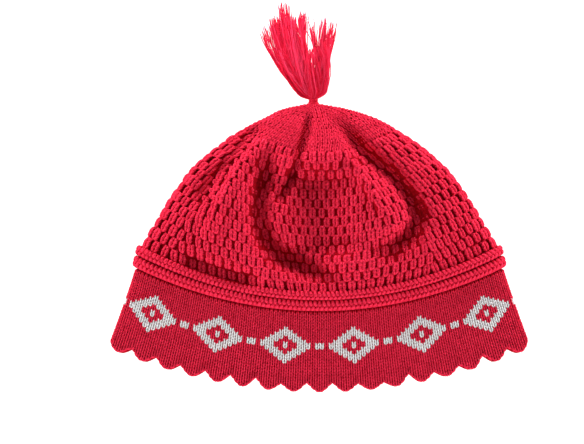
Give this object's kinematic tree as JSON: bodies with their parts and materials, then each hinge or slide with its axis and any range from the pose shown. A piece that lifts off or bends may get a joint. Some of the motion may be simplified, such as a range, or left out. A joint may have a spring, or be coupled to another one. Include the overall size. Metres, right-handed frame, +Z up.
{
  "type": "kippah",
  "caption": "Soft knitted skullcap lying flat, with a bobble-knit crown, two rolled welts, a flared band with a scalloped hem, and a tassel tied at the apex.",
  "frame": {"origin": "middle of the underside's box, on the surface that the hat lies on", "axes": "+X across the hat, +Y from the hem to the tassel, +Z up through the front layer"},
  "size_m": [0.257, 0.2394, 0.0387],
  "materials": {
    "red_knit": "matt acrylic knit, bobble and purl stitches",
    "band_knit": "matt acrylic stockinette with white stitches worked in",
    "tassel_strands": "loose, slightly shiny yarn strands"
  },
  "bodies": {
    "root": {"crown": "red_knit", "upper_welt": "red_knit", "lower_welt": "red_knit", "band": "band_knit", "tassel": "tassel_strands", "tassel_tie": "tassel_strands"}
  },
  "joints": []
}
